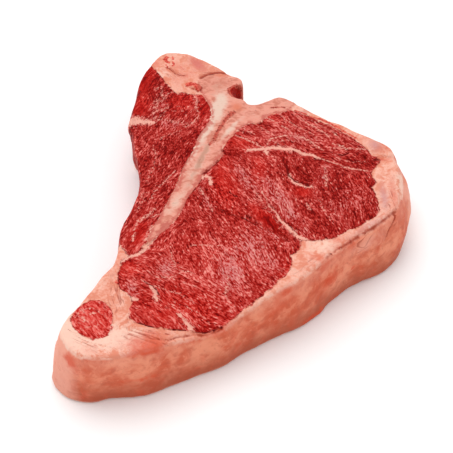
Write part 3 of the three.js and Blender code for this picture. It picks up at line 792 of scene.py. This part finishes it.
@dataclass
class Skin:
    """The sculpted surface of the whole slice, onto which every piece is wrapped."""

    cell: float = 0.6
    grow: float = 0.25
    rounds: int = 12
    grain: float = 0.32  # height of the lean's grain
    dents: float = 0.45  # height of the fat's soft dents
    saw: float = 0.12  # height of the bone's roughness
    lean_edge: float = 1.5  # width over which lean gives way
    bone_edge: float = 0.8
    grain_wave: float = 3.4
    ripple_wave: float = 8.0
    dent_wave: float = 9.0
    saw_wave: float = 2.0
    pressed: float = 0.4  # share of the relief on the face that it lies on
    level: float = 0.6  # least rise of a normal on the upper face
    spread: int = 4  # squares by which the upper face's height is known past its edge
    arris: float = 0.4  # depth at which the wall starts
    reach: float = 2.4  # how far a piece's vertex may be drawn
    facing: float = 0.35  # least agreement of the normals of an outer face and the skin
    tuck: float = 0.42  # how deep an inner wall's vertex may lie and still be drawn up

    def build(self, chart: Chart) -> None:
        """Joins grown copies of all solids into one closed surface and sculpts it.

        Args:
            chart: What is drawn on the slice.
        """
        copies = [MeshWork.copy_of(node, "skin") for node in sorted(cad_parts)]
        for copy in copies:
            MeshWork.modify(copy, "DISPLACE", strength=self.grow * MM, mid_level=0.0)
        bpy.ops.object.select_all(action="DESELECT")
        for copy in copies:
            copy.select_set(True)
        skin = copies[0]
        bpy.context.view_layer.objects.active = skin
        bpy.ops.object.join()
        MeshWork.modify(skin, "REMESH", mode="VOXEL", voxel_size=self.cell * MM)
        MeshWork.modify(skin, "SMOOTH", factor=0.5, iterations=self.rounds)
        self.map_top(MeshWork.points(skin), MeshWork.normals(skin))
        chart.lay(MeshWork.points(skin))
        self.sculpt(skin, chart)
        skin.data.calc_loop_triangles()
        corners = [Vector(point) for point in MeshWork.points(skin)]
        self.tree = BVHTree.FromPolygons(corners, [tuple(t.vertices) for t in skin.data.loop_triangles])
        log.info("skin: %d vertices", len(corners))
        bpy.data.objects.remove(skin)

    def map_top(self, points: Array, normals: Array) -> None:
        """Maps the upper face's height in squares of a millimetre.

        Args:
            points: The skin's vertices.
            normals: Their normals.
        """
        self.corner = np.floor(points[:, :2].min(axis=0)) - 2.0
        size = np.ceil(points[:, :2].max(axis=0) - self.corner).astype(int) + 3
        top = points[normals[:, 2] > self.level]
        heights = np.full(size, np.nan)
        square = np.round(top[:, :2] - self.corner).astype(int)
        heights[square[:, 0], square[:, 1]] = top[:, 2]
        for _ in range(self.spread):
            near = np.stack([np.roll(heights, s, a) for s in (1, -1) for a in (0, 1)])
            known = ~np.isnan(near)
            total = np.where(known, near, 0.0).sum(axis=0)
            count = known.sum(axis=0)
            fill = np.isnan(heights) & (count > 0)
            heights[fill] = total[fill] / count[fill]
        self.heights = np.where(np.isnan(heights), np.nanmedian(heights), heights)

    def buried(self, points: Array) -> Array:
        """How deep each point lies below the nearer of the two cut faces."""
        square = np.round(points[:, :2] - self.corner).astype(int)
        square = np.clip(square, 0, np.array(self.heights.shape) - 1)
        top = self.heights[square[:, 0], square[:, 1]]
        return np.clip(np.minimum(top - points[:, 2], points[:, 2]) - self.arris, 0.0, None)

    def sculpt(self, skin: Body, chart: Chart) -> None:
        """Raises the grain and the dents, and sinks the creases.

        Args:
            skin: The closed surface.
            chart: What is drawn on the slice.
        """
        points, normals = MeshWork.points(skin), MeshWork.normals(skin)
        buried = self.buried(points)
        wandered = chart.wander(points)
        lean, bone = chart.regions(points, buried)
        is_lean = np.clip(0.5 - lean / self.lean_edge, 0.0, 1.0)
        is_bone = np.clip(0.5 - bone / self.bone_edge, 0.0, 1.0)
        is_fat = np.clip(1.0 - is_lean - is_bone, 0.0, 1.0)
        clouds = chart.clouds
        along = chart.grain(points, lean)[0]
        lift = self.grain * is_lean * clouds.layered(along * (0.3, 1.0, 0.4), self.grain_wave, 2)
        lift += 1.3 * self.grain * is_lean * clouds.at(along * (0.35, 1.0, 0.4), self.ripple_wave)
        lift += self.dents * is_fat * clouds.layered(points, self.dent_wave, 3)
        lift += self.saw * is_bone * clouds.layered(points, self.saw_wave, 2)
        for stroke in SUNK:
            mark = chart.stroke_field((stroke,), wandered, buried)
            lift -= stroke.depth * np.clip(mark + 0.6, 0.0, 1.0) ** 1.5
        for patch in itertools.chain(*PATCHES.values()):
            if patch.dent:
                lift -= patch.dent * chart.patch_field(patch, wandered, buried)
        lift *= np.where(normals[:, 2] < -0.5, self.pressed, 1.0)
        MeshWork.place(skin, points + normals * lift[:, None])

    def wrap(self, piece: Body) -> None:
        """Draws a piece's outer faces, and the top of its inner walls, onto the skin."""
        points = MeshWork.points(piece)
        for i, normal in enumerate(MeshWork.normals(piece)):
            point = Vector(points[i])
            hit, outward, _, _ = self.tree.find_nearest(point, self.reach)
            if hit is None:
                continue
            if outward.dot(Vector(normal)) > self.facing or (hit - point).dot(outward) < self.tuck:
                points[i] = hit
        MeshWork.place(piece, points)


@dataclass
class Piece:
    """One muscle, the bone or a run of fat."""

    node: str
    slot: Slot
    cell: float = 0.5
    grow: float = 0.4
    crease: float = 50.0  # degrees past which an edge stays sharp

    def build(self, skin: Skin, chart: Chart) -> Body:
        """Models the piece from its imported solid.

        Args:
            skin: The surface to wrap it onto.
            chart: What is drawn on the slice.

        Returns:
            The finished piece.
        """
        piece = MeshWork.copy_of(self.node, f"{self.node}_flesh")
        MeshWork.modify(piece, "DISPLACE", strength=self.grow * MM, mid_level=0.0)
        MeshWork.modify(piece, "REMESH", mode="VOXEL", voxel_size=self.cell * MM)
        skin.wrap(piece)
        MeshWork.select_only(piece)
        bpy.ops.object.shade_smooth_by_angle(angle=math.radians(self.crease))
        self.paint(piece, skin, chart)
        return piece

    def paint(self, piece: Body, skin: Skin, chart: Chart) -> None:
        """Writes the fields that the finishes read onto the vertices.

        Args:
            piece: The piece.
            skin: The surface that it lies on.
            chart: What is drawn on the slice.
        """
        points = MeshWork.points(piece)
        buried = skin.buried(points)
        wandered = chart.wander(points)
        lean, bone = chart.regions(points, buried)
        grain, knit = chart.grain(points, lean)
        fields = {"lean": lean, "bone": bone, "buried": buried, "knit": knit}
        for mark, drawn in STROKES.items():
            fields[mark.value] = chart.stroke_field(drawn, wandered, buried)
        for tone, laid in PATCHES.items():
            covers = [patch.weight * chart.patch_field(patch, wandered, buried) for patch in laid]
            fields[tone.value] = np.maximum.reduce(covers)
        for name, values in fields.items():
            layer = piece.data.attributes.new(name, "FLOAT", "POINT")
            layer.data.foreach_set("value", values.astype(np.float32))
        layer = piece.data.attributes.new("grain", "FLOAT_VECTOR", "POINT")
        layer.data.foreach_set("vector", grain.astype(np.float32).ravel())


class Wire:
    """A value in a shader that can be used in a Python expression."""

    def __init__(self, graph: "Graph", socket: bpy.types.NodeSocket) -> None:
        """Wraps an output socket of a graph."""
        self.graph = graph
        self.socket = socket

    def _math(self, operation: str, *values: "Wire | float") -> "Wire":
        """Adds a Math node."""
        return self.graph.node("ShaderNodeMath", {"operation": operation}, dict(enumerate(values)))

    def __add__(self, other: "Wire | float") -> "Wire":
        """Sum."""
        return self._math("ADD", self, other)

    __radd__ = __add__

    def __sub__(self, other: "Wire | float") -> "Wire":
        """Difference."""
        return self._math("SUBTRACT", self, other)

    def __rsub__(self, other: float) -> "Wire":
        """Difference from a number."""
        return self._math("SUBTRACT", other, self)

    def __mul__(self, other: "Wire | float") -> "Wire":
        """Product."""
        return self._math("MULTIPLY", self, other)

    __rmul__ = __mul__

    def __abs__(self) -> "Wire":
        """Size without sign."""
        return self._math("ABSOLUTE", self)

    def at_most(self, other: "Wire | float") -> "Wire":
        """The smaller of two values."""
        return self._math("MINIMUM", self, other)

    def step(self, low: float, high: float) -> "Wire":
        """A smooth step from 0 at one value to 1 at the other, which may be the lower."""
        settings = {"interpolation_type": "SMOOTHSTEP"}
        values = {"Value": self, "From Min": low, "From Max": high, "To Min": 0.0, "To Max": 1.0}
        if low > high:
            values.update({"From Min": high, "From Max": low, "To Min": 1.0, "To Max": 0.0})
        return self.graph.node("ShaderNodeMapRange", settings, values)


class Graph:
    """The node tree of one material."""

    def __init__(self, material: bpy.types.Material) -> None:
        """Clears the tree and adds the position in the object's own frame, in millimetres."""
        material.use_nodes = True
        self.tree = material.node_tree
        self.tree.nodes.clear()
        spot = self.node("ShaderNodeTexCoord", output="Object")
        self.place = self.node("ShaderNodeVectorMath", {"operation": "SCALE"}, {0: spot, "Scale": 1.0 / MM})

    def node(
        self,
        kind: str,
        settings: dict[str, object] | None = None,
        sockets: dict[int | str, object] | None = None,
        output: int | str = 0,
    ) -> Wire | None:
        """Adds a node.

        Args:
            kind: The node's type.
            settings: Properties, which are set first. "stops" are a ramp's places and colours.
            sockets: Values or wires of its inputs, by name or number.
            output: The output that is wanted.

        Returns:
            That output, if the node has any.
        """
        made = self.tree.nodes.new(kind)
        for name, value in (settings or {}).items():
            if name == "stops":
                self._set_stops(made.color_ramp.elements, value)
            else:
                setattr(made, name, value)
        for key, value in (sockets or {}).items():
            if isinstance(value, Wire):
                self.tree.links.new(value.socket, made.inputs[key])
            else:
                made.inputs[key].default_value = value
        return Wire(self, made.outputs[output]) if made.outputs else None

    def painted(self, name: str, output: str = "Fac") -> Wire:
        """A field painted on the vertices."""
        return self.node("ShaderNodeAttribute", {"attribute_name": name}, output=output)

    @staticmethod
    def _set_stops(stock: bpy.types.ColorRampElements, stops: list[tuple[float, tuple[float, ...]]]) -> None:
        """Gives a ramp its places and colours."""
        while len(stock) < len(stops):
            stock.new(1.0)
        for element, (place, colour) in zip(stock, stops):
            element.position, element.color = place, colour

    def show(self, surface: Wire) -> None:
        """Makes a shader the material's surface."""
        self.node("ShaderNodeOutputMaterial", None, {"Surface": surface})

    def noise(
        self, wavelength: float, detail: float, twist: float, rough: float = 0.5, place: Wire | None = None
    ) -> Wire:
        """Soft noise around 0.5.

        Args:
            wavelength: The size of its blotches.
            detail: How many finer layers it has.
            twist: How much it is distorted.
            rough: How strong the finer layers are.
            place: Where, in millimetres, if not at the position itself.

        Returns:
            The noise.
        """
        sockets = {"Vector": place or self.place, "Scale": 1.0 / wavelength}
        sockets.update({"Detail": detail, "Distortion": twist, "Roughness": rough})
        return self.node("ShaderNodeTexNoise", None, sockets)

    def strands(self, factors: Size, wavelength: float, *rest: float) -> Wire:
        """Noise whose place along, across and up the grain is multiplied by factors."""
        grain = self.painted("grain", "Vector")
        place = self.node("ShaderNodeVectorMath", {"operation": "MULTIPLY"}, {0: grain, 1: factors})
        return self.noise(wavelength, *rest, place=place)

    def ragged(self, wavelength: float, height: float, detail: float = 3.0) -> Wire:
        """Much twisted noise around 0, as high as given from its least to its most."""
        return self.noise(wavelength, detail, 0.8) * height - 0.5 * height

    def coats(self, base: "Wire | Tint", *coats: "tuple[Wire | Tint, Wire]") -> Wire:
        """Lays colours over one another.

        Args:
            base: The lowest colour.
            *coats: The colours above it, each with the share of it that shows.

        Returns:
            The mixed colour.
        """
        settings = {"data_type": "RGBA", "clamp_factor": True}
        for colour, share in coats:
            below, above = (side if isinstance(side, Wire) else seen(*side) for side in (base, colour))
            base = self.node("ShaderNodeMix", settings, {0: share, 6: below, 7: above}, 2)
        return base


def seen(red: int, green: int, blue: int, light: float = 1.12) -> tuple[float, float, float, float]:
    """The pigment of a surface that looks like a screen colour in this light.

    Args:
        red: Red from 0 to 255.
        green: Green from 0 to 255.
        blue: Blue from 0 to 255.
        light: How bright a white surface would be there.

    Returns:
        The pigment as linear red, green, blue and alpha.
    """
    shares = (part / 255.0 for part in (red, green, blue))
    linear = (s / 12.92 if s <= 0.04045 else ((s + 0.055) / 1.055) ** 2.4 for s in shares)
    return (*(part / light for part in linear), 1.0)


@dataclass(frozen=True)
class Layer:
    """What one finish gives at a point: its colour, gloss and relief."""

    colour: Wire
    roughness: Wire
    height: Wire


@dataclass(frozen=True)
class Fields:
    """The painted fields, as a finish reads them."""

    lean: Wire
    bone: Wire
    buried: Wire
    knit: Wire
    pale: Wire
    dark: Wire
    red: Wire
    calm: Wire
    sheen: Wire
    deep: Wire
    bright: Wire
    light: Wire
    flush: Wire
    ash: Wire
    cream: Wire
    wrinkled: Wire


@dataclass(frozen=True)
class LeanFinish:
    """Moist muscle: bands and fibres of deep red, a fine grain and broken pale marbling, with painted sheen,
    glints and shade.
    """

    aged: tuple[Tint, ...] = (
        (106, 3, 2), (136, 12, 8), (155, 25, 19), (172, 43, 37),
        (191, 64, 58), (211, 90, 83), (235, 121, 113), (250, 150, 138),
    )
    fresh: tuple[Tint, ...] = (
        (124, 3, 2), (158, 11, 7), (180, 24, 17), (198, 38, 30),
        (214, 59, 50), (229, 87, 78), (244, 118, 108), (252, 146, 134),
    )
    # pale marbling, and also the colour of the painted glints
    pale: Tint = (252, 188, 168)
    rose: Tint = (238, 140, 128)
    painted_sheen: Tint = (208, 138, 138)
    painted_crease_shade: Tint = (98, 4, 3)

    @staticmethod
    def ramp(g: Graph, value: Wire, row: tuple[Tint, ...]) -> Wire:
        """A colour picked along a row of tints."""
        stops = [(k / (len(row) - 1), seen(*tint)) for k, tint in enumerate(row)]
        return g.node("ShaderNodeValToRGB", {"stops": stops}, {0: value})

    def layer(self, g: Graph, f: Fields) -> Layer:
        """Builds the finish.

        Args:
            g: The material's graph.
            f: The painted fields.

        Returns:
            Its colour, gloss and relief.
        """
        bands = g.strands((0.22, 1.0, 0.3), 4.2, 3.0, 0.6)
        fibres = g.strands((0.27, 1.0, 0.4), 1.4, 3.0, 0.5, 0.62)
        stipple = g.strands((0.42, 1.0, 0.5), 0.72, 1.0, 0.3)
        blotches = g.noise(7.0, 3.0, 0.6)
        whole = f.knit.step(0.1, 1.4)
        fine = (stipple - 0.5) * (1.95 - 1.2 * f.calm)
        coarse = (1.25 * fibres + 1.0 * bands - 1.125) * (0.3 + 0.7 * whole) + 0.55 * blotches - 0.275
        coarse = coarse * (1.0 - 0.3 * f.calm)
        # The sheen patches lighten the lean as painted highlight; the deep patches darken it, partly as
        # painted shade.
        value = fine + coarse + 0.46 + 0.18 * f.sheen - 0.26 * f.deep + 0.15 * f.light
        # painted shade: thin dark lines in the furrows along the grain's bands
        furrow_shade = abs(bands - 0.5).step(0.022, 0.002) * blotches.step(0.4, 0.56)
        # painted glints: small pale highlights where the grain is highest
        painted_glint = (stipple + 0.6 * fibres + 0.08 * f.sheen - 0.1 * f.calm).step(1.02, 1.16)
        flecks = g.strands((0.7, 1.0, 0.7), 0.95, 2.0, 0.9) * 5.6 - 2.8
        streak = (f.pale + flecks * 0.9 - 0.45).step(-0.1, 0.6)
        # painted shade in the sunk creases
        gap = (f.dark * 1.2 + g.ragged(1.2, 3.0) * 0.5).step(0.0, 0.7)
        colour = g.coats(
            self.ramp(g, value, self.aged),
            (self.ramp(g, value, self.fresh), 0.25 + 0.75 * f.bright),
            # painted sheen: a grey-pink highlight over the lighter lean of the sheen patches
            (self.painted_sheen, f.sheen * value.step(0.45, 0.85) * 0.65),
            # painted shade in the grain's furrows
            (self.aged[1], furrow_shade * 0.5),
            # painted glints
            (self.pale, painted_glint * 0.7),
            (self.rose, streak * 0.75),
            (self.pale, (f.pale + flecks * 0.6 - 0.8).step(-0.1, 0.7) * 0.8),
            (self.painted_crease_shade, gap * 0.85),
        )
        grain = (1.1 * bands + 0.6 * fibres + 0.7 * stipple - 1.2 - 0.1 * furrow_shade) * whole
        return Layer(colour, 0.4 + 0.2 * stipple, grain + 0.1 * streak - 0.08 * gap)


@dataclass(frozen=True)
class FatFinish:
    """Waxy fat: pale on the cut faces, more orange on the wall, with faint red flushes and painted light and
    shade.
    """

    cream: Tint = (253, 206, 186)
    pale: Tint = (246, 176, 154)
    peach: Tint = (232, 144, 118)
    wall: Tint = (216, 100, 70)
    wall_pale: Tint = (244, 152, 120)
    wall_painted_shade: Tint = (184, 90, 64)
    wall_dull: Tint = (194, 90, 68)
    wall_painted_light: Tint = (250, 176, 154)
    flush: Tint = (222, 78, 46)
    ash: Tint = (208, 150, 150)
    # painted shade in creases, wrinkles and along the wall's foot; also the colour of the fat's thin threads
    crease: Tint = (160, 46, 20)
    blood: Tint = (190, 30, 22)
    coral: Tint = (236, 100, 82)

    def layer(self, g: Graph, f: Fields) -> Layer:
        """Builds the finish.

        Args:
            g: The material's graph.
            f: The painted fields.

        Returns:
            Its colour, gloss and relief.
        """
        soft = g.noise(5.0, 4.0, 0.8)
        fine = g.noise(1.1, 3.0, 0.5)
        curd = g.noise(4.2, 4.0, 0.5, 0.58)
        ragged = g.ragged(1.5, 1.2)
        level = g.node("ShaderNodeSeparateXYZ", None, {0: g.place}, "Z")
        threads = abs(g.noise(4.5, 3.0, 1.5) - 0.5).step(0.025, 0.0)
        waves = g.strands((0.09, 1.0, 0.3), 2.6, 2.0, 0.3)
        wrinkles = abs(waves - 0.5).step(0.03, 0.004) * (f.wrinkled + soft - 0.5).step(0.25, 0.75)
        # painted shade in the sunk creases
        gap = (f.dark + ragged * 0.8).step(-0.1, 1.2)
        side = g.coats(
            self.wall,
            (self.wall_pale, g.noise(11.0, 5.0, 0.3).step(0.36, 0.66)),
            (self.wall_dull, curd.step(0.52, 0.68) * 0.45),
            (self.wall_pale, curd.step(0.48, 0.35) * 0.55),
            # painted shade: the wall darkens towards its foot
            (self.wall_painted_shade, (level + soft * 14.0 - 7.0).step(19.0, 1.0) * 0.9),
            # painted light: the wall lightens towards its top edge
            (self.wall_painted_light, (level + soft * 10.0 - 5.0).step(20.0, 32.0) * 0.25),
            # painted light on the walls under the cream patches placed in space
            (self.wall_painted_light, (f.cream + soft * 0.8 - 0.4).step(0.2, 0.9) * 0.8),
        )
        lean = g.coats(self.blood, (self.coral, fine.step(0.42, 0.6)))
        colour = g.coats(
            self.peach,
            (self.pale, (soft + 0.4 * fine).step(0.56, 0.76)),
            (self.cream, (soft + f.cream * 0.7 + fine * 0.4).step(0.68, 1.05)),
            (side, (f.buried + soft * 2.0 - 1.0).step(0.2, 1.8)),
            (self.flush, (f.flush + soft * 1.5 - 0.75).step(0.1, 1.0) * 0.75),
            (self.flush, g.noise(13.0, 5.0, 0.4).step(0.54, 0.72) * 0.3),
            (self.ash, f.ash * 0.75),
            (self.crease, threads * soft.step(0.45, 0.6) * 0.22),
            # painted shade in the fine wrinkles
            (self.crease, wrinkles * 0.6),
            # painted shade along the wall's foot, where it meets the floor
            (self.crease, (level + ragged * 4.0).step(4.0, 0.3) * f.buried.step(1.0, 0.2) * 0.5),
            (lean, (f.red + ragged * 1.6).step(0.0, 0.5) * 0.9),
            (self.crease, gap * 0.85),
        )
        height = 0.35 * soft + 0.12 * fine - 0.23 - 0.06 * gap - 0.03 * wrinkles
        return Layer(colour, 0.42 + 0.16 * soft, height)


@dataclass(frozen=True)
class BoneFinish:
    """Sawn bone: cream and pinkish grey, with a red-brown marrow strip and dark pores."""

    cream: Tint = (236, 202, 184)
    pink: Tint = (238, 160, 141)
    dull: Tint = (210, 128, 108)
    grey: Tint = (190, 138, 116)
    marrow: Tint = (198, 84, 68)
    raw: Tint = (204, 104, 92)
    pore: Tint = (122, 22, 14)
    blood: Tint = (172, 20, 8)
    flush: Tint = (224, 118, 84)

    def layer(self, g: Graph, f: Fields) -> Layer:
        """Builds the finish.

        Args:
            g: The material's graph.
            f: The painted fields.

        Returns:
            Its colour, gloss and relief.
        """
        soft = g.noise(4.0, 4.0, 0.6)
        fine = g.strands((0.25, 1.0, 0.5), 0.8, 3.0, 0.4)
        ragged = g.ragged(1.2, 1.4)
        cells = g.node("ShaderNodeTexVoronoi", None, {"Vector": g.place, "Scale": 1.0 / 1.3})
        strip = (f.red + ragged).step(-0.1, 0.6)
        holes = (f.red + ragged * 0.5).step(-0.35, 0.15) * cells.step(0.5, 0.3)
        gap = ((f.dark + ragged * 0.7).step(0.0, 0.6) + holes * 0.75).at_most(1.0)
        colour = g.coats(
            self.dull,
            (self.pink, (soft + 0.5 * fine).step(0.55, 0.85)),
            (self.cream, (1.1 * f.cream + 1.2 * soft + 0.3 * fine - 0.75).step(0.1, 1.05) * 0.95),
            (self.grey, (f.ash * 0.8 + soft - 0.5).step(0.1, 0.8) * 0.7),
            (self.grey, (fine + soft).step(1.15, 1.4) * 0.45),
            (self.flush, (f.flush + soft - 0.5).step(0.1, 0.9) * 0.7),
            (self.raw, (f.lean + soft * 6.0 + ragged * 2.0 - 3.0).step(2.3, 0.5) * 0.8),
            (self.marrow, strip * 0.9),
            (self.blood, (f.red + ragged * 0.5).step(1.5, 2.1) * 0.95),
            (self.pore, gap * 0.85),
        )
        height = 0.12 * soft + 0.16 * fine - 0.14 - 0.12 * gap - 0.05 * strip
        return Layer(colour, 0.48 + 0.15 * fine, height)


class Larder:
    """The three materials. Each holds all three finishes, mixed by the painted regions."""

    SPECULAR = {Slot.LEAN: 0.03, Slot.FAT: 0.06, Slot.BONE: 0.06}
    SCATTER = {Slot.LEAN: 0.0, Slot.FAT: 0.04, Slot.BONE: 0.03}
    SCATTER_RADIUS = (0.0025, 0.0009, 0.0006)
    BUMP = 0.8

    def __init__(self) -> None:
        """Makes a material for each slot."""
        self.materials = {slot: self.make(slot) for slot in Slot}

    def make(self, slot: Slot) -> bpy.types.Material:
        """Makes the material of one slot.

        Args:
            slot: The slot.

        Returns:
            The material.
        """
        material = bpy.data.materials.new(f"steak_{slot.value}")
        g = Graph(material)
        f = Fields(**{name: g.painted(name) for name in Fields.__dataclass_fields__})
        fat, lean, bone = (finish.layer(g, f) for finish in (FatFinish(), LeanFinish(), BoneFinish()))
        border = g.noise(3.2, 4.0, 0.8)
        lean_share = (f.lean + border * 4.0 - 2.0).step(0.5, -0.4)
        bone_share = (f.bone + border * 2.4 - 1.2).step(0.4, -0.3)

        def blend(name: str) -> Wire:
            """Mixes a plain value of the three finishes."""
            soft, red, hard = (getattr(part, name) for part in (fat, lean, bone))
            meat = soft + (red - soft) * lean_share
            return meat + (hard - meat) * bone_share

        relief = {"Strength": self.BUMP, "Distance": MM, "Height": blend("height")}
        sockets = {
            "Base Color": g.coats(fat.colour, (lean.colour, lean_share), (bone.colour, bone_share)),
            "Roughness": blend("roughness"),
            "Normal": g.node("ShaderNodeBump", None, relief),
            "Specular IOR Level": self.SPECULAR[slot],
            "Subsurface Weight": self.SCATTER[slot],
            "Subsurface Radius": self.SCATTER_RADIUS,
            "Subsurface Scale": 1.0,
        }
        g.show(g.node("ShaderNodeBsdfPrincipled", {"subsurface_method": "RANDOM_WALK"}, sockets))
        return material


class Steak:
    """The whole steak: every piece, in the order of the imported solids."""

    PIECES = (
        Piece("bone", Slot.BONE),
        Piece("tenderloin", Slot.LEAN, 0.55),
        Piece("strip_loin_upper", Slot.LEAN),
        Piece("strip_loin_middle", Slot.LEAN),
        Piece("strip_loin_lower", Slot.LEAN, 0.55),
        Piece("tail_eye", Slot.LEAN),
        Piece("fat_cap", Slot.FAT, 0.66),
        Piece("fat_chine", Slot.FAT),
    )

    def build(self) -> None:
        """Sculpts the skin, then builds and dresses every piece, attaches it to the root body and hides its
        imported solid.
        """
        chart = Chart()
        skin = Skin()
        skin.build(chart)
        larder = Larder()
        for plan in self.PIECES:
            piece = plan.build(skin, chart)
            piece.data.materials.append(larder.materials[plan.slot])
            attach(piece, "root")
            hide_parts(plan.node)
            log.info("%s: %d faces", piece.name, len(piece.data.polygons))


@dataclass
class Studio:
    """The floor, the lights and the camera."""

    lens: float = 100.0
    sensor: float = 36.0
    tilt: float = 45.0
    target: Size = (-6.5, -12.5, 17.0)
    distance: float = 629.2
    floor_size: float = 4000.0
    white: tuple[float, float, float, float] = (1.0, 1.0, 1.0, 1.0)
    sky: float = 0.8
    lamp_power: float = 1.3
    lamp_spread: float = 60.0
    lamp_way: Size = (0.2, -0.35, -1.0)

    def build(self) -> None:
        """Makes the floor, the lights and the camera."""
        self.lay_floor()
        self.light()
        self.aim_camera()

    def lay_floor(self) -> None:
        """Lays a plain white floor under the steak."""
        bpy.ops.object.select_all(action="DESELECT")
        bpy.ops.mesh.primitive_plane_add(size=self.floor_size * MM)
        floor = bpy.context.object
        floor.name = "floor"
        paper = bpy.data.materials.new("paper")
        g = Graph(paper)
        sockets = {"Base Color": self.white, "Roughness": 1.0, "Specular IOR Level": 0.1}
        g.show(g.node("ShaderNodeBsdfPrincipled", None, sockets))
        floor.data.materials.append(paper)

    def light(self) -> None:
        """Sets an even white sky and one soft lamp high behind the steak's left."""
        world = bpy.data.worlds.new("studio")
        world.use_nodes = True
        sky = world.node_tree.nodes["Background"]
        sky.inputs["Color"].default_value = self.white
        sky.inputs["Strength"].default_value = self.sky
        bpy.context.scene.world = world
        lamp = bpy.data.lights.new("softbox", "SUN")
        lamp.energy = self.lamp_power
        lamp.angle = math.radians(self.lamp_spread)
        softbox = bpy.data.objects.new("softbox", lamp)
        softbox.rotation_euler = Vector(self.lamp_way).to_track_quat("-Z", "Y").to_euler()
        bpy.context.scene.collection.objects.link(softbox)

    def aim_camera(self) -> None:
        """Looks down on the steak from the front."""
        lens = bpy.data.cameras.new("camera")
        lens.lens = self.lens
        lens.sensor_width = self.sensor
        camera = bpy.data.objects.new("camera", lens)
        back = math.radians(self.tilt)
        reach = Vector((0.0, -math.cos(back), math.sin(back))) * self.distance
        camera.location = (Vector(self.target) + reach) * MM
        camera.rotation_euler = (math.radians(90.0 - self.tilt), 0.0, 0.0)
        bpy.context.scene.collection.objects.link(camera)
        bpy.context.scene.camera = camera


def main() -> None:
    """Builds the studio and the steak."""
    form = "%(name)s %(relativeCreated)d ms: %(message)s"
    logging.basicConfig(level=logging.INFO, format=form, stream=sys.stdout)
    bpy.context.scene.view_settings.view_transform = "Standard"
    Studio().build()
    Steak().build()


if __name__ == "__main__":
    main()
